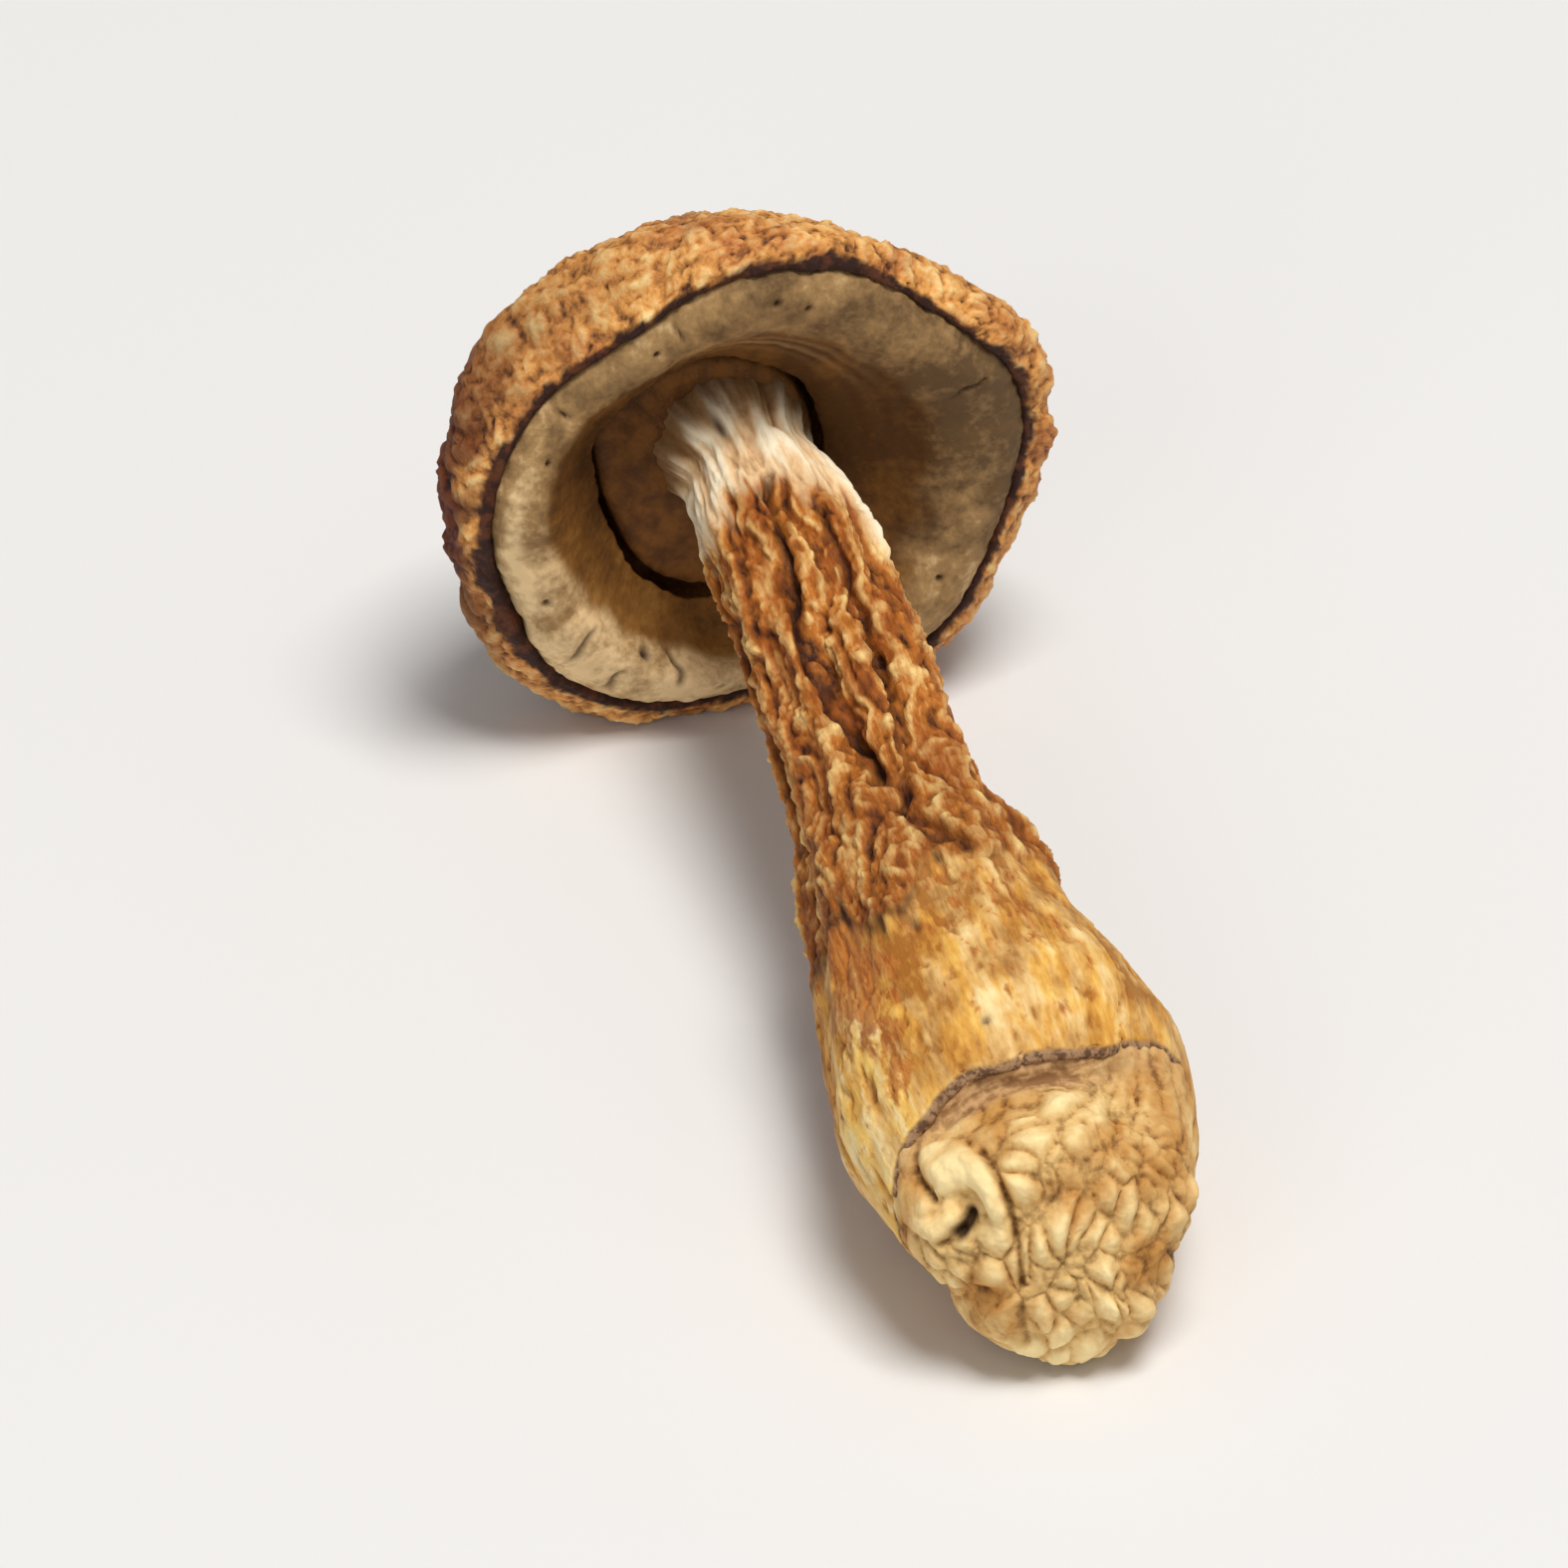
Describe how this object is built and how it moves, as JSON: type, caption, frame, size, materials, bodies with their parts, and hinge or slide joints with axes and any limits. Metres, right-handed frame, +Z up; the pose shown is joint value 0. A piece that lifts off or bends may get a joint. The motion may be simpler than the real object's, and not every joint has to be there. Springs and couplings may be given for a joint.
{
  "type": "dried almond mushroom",
  "caption": "Whole dried almond mushroom lying on its side: wrinkled cap with a torn veil underneath, furrowed stem and crumpled, swollen foot.",
  "frame": {"origin": "middle of the bounding box's lowest face, on the surface that the mushroom lies on", "axes": "+Z up, -Y towards the foot of the stem, +Y towards the crown of the cap, +X across"},
  "size_m": [0.0238, 0.0518, 0.0228],
  "materials": {
    "dried_flesh": "dry, matte, shrivelled mushroom flesh and skin"
  },
  "bodies": {
    "root": {"almond_mushroom": "dried_flesh"}
  },
  "joints": []
}
